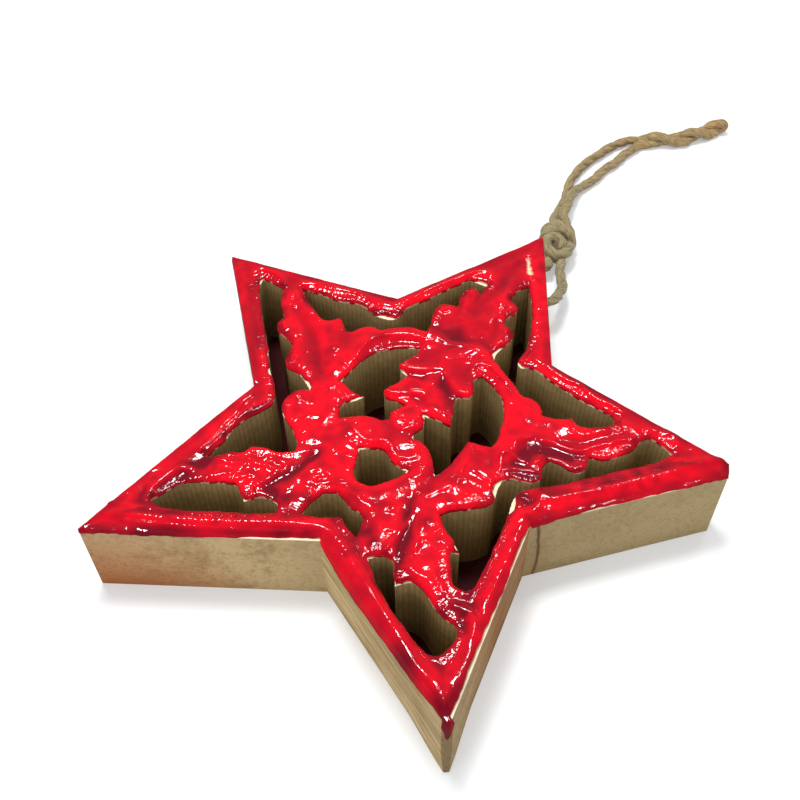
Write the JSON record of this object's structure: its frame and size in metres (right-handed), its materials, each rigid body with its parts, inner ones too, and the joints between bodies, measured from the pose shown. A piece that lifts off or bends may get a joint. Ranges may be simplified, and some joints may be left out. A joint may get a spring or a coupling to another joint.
{
  "type": "wooden star ornament",
  "caption": "Five-pointed star sawn in openwork leaf and scroll fretwork from a thick board, glossy red enamel front, hung by a knotted loop of jute twine.",
  "frame": {"origin": "centre of the star on its flat back face", "axes": "+Z out of the coated front, +Y towards the tip that hangs uppermost, +X from the left side arm to the right one"},
  "size_m": [0.1195, 0.2087, 0.0193],
  "materials": {
    "sawn_wood": "raw sawn",
    "red_enamel": "poured gloss enamel",
    "jute": "spun natural jute"
  },
  "bodies": {
    "star": {"star_frame": "sawn_wood", "top_palmette": "sawn_wood", "arch_with_side_leaves": "sawn_wood", "centre_leaf": "sawn_wood", "ring_with_lower_leaves": "sawn_wood", "red_coat": "red_enamel"},
    "hanger": {"tip_strand": "jute", "loop_knot": "jute", "hanging_loop": "jute"}
  },
  "joints": [
    {"name": "hanger_swing", "type": "hinge", "parent": "star", "child": "hanger", "pos_m": [-0.00076, 0.05227, 0.009], "axis": [1, 0, 0], "range_deg": [0, 90]}
  ]
}
